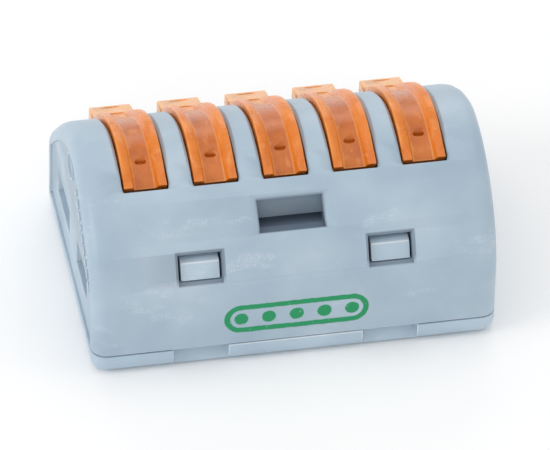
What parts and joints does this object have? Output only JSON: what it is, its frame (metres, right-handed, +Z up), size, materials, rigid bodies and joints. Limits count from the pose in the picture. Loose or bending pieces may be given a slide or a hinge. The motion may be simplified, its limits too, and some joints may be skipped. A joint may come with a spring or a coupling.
{
  "type": "lever wire connector",
  "caption": "Row of lever-operated cage clamps in a moulded housing with a latched base cover, joining stripped wires on one shared busbar.",
  "frame": {"origin": "centre of the underside, on the surface the connector stands on", "axes": "+X along the row of poles, +Y out of the wire entries, +Z up towards the levers"},
  "size_m": [0.0288, 0.0206, 0.0136],
  "materials": {
    "housing_plastic": "satin moulded polyamide",
    "lever_plastic": "glossy moulded, slightly translucent",
    "tinned_copper": "tin plated, satin",
    "spring_steel": "bare spring strip"
  },
  "bodies": {
    "body": {"housing": "housing_plastic", "base_cover": "housing_plastic", "busbar": "tinned_copper", "clamp_spring_1": "spring_steel", "clamp_spring_2": "spring_steel", "clamp_spring_3": "spring_steel", "clamp_spring_4": "spring_steel", "clamp_spring_5": "spring_steel"},
    "lever_1": {"lever_1": "lever_plastic"},
    "lever_2": {"lever_2": "lever_plastic"},
    "lever_3": {"lever_3": "lever_plastic"},
    "lever_4": {"lever_4": "lever_plastic"},
    "lever_5": {"lever_5": "lever_plastic"}
  },
  "joints": [
    {"name": "lever_1_pivot", "type": "hinge", "parent": "body", "child": "lever_1", "pos_m": [-0.0099, -0.00185, 0.0104], "axis": [1, 0, 0], "range_deg": [0, 85], "deforming": ["clamp_spring_1"]},
    {"name": "lever_2_pivot", "type": "hinge", "parent": "body", "child": "lever_2", "pos_m": [-0.00495, -0.00185, 0.0104], "axis": [1, 0, 0], "range_deg": [0, 85], "deforming": ["clamp_spring_2"]},
    {"name": "lever_3_pivot", "type": "hinge", "parent": "body", "child": "lever_3", "pos_m": [0, -0.00185, 0.0104], "axis": [1, 0, 0], "range_deg": [0, 85], "deforming": ["clamp_spring_3"]},
    {"name": "lever_4_pivot", "type": "hinge", "parent": "body", "child": "lever_4", "pos_m": [0.00495, -0.00185, 0.0104], "axis": [1, 0, 0], "range_deg": [0, 85], "deforming": ["clamp_spring_4"]},
    {"name": "lever_5_pivot", "type": "hinge", "parent": "body", "child": "lever_5", "pos_m": [0.0099, -0.00185, 0.0104], "axis": [1, 0, 0], "range_deg": [0, 85], "deforming": ["clamp_spring_5"]}
  ]
}
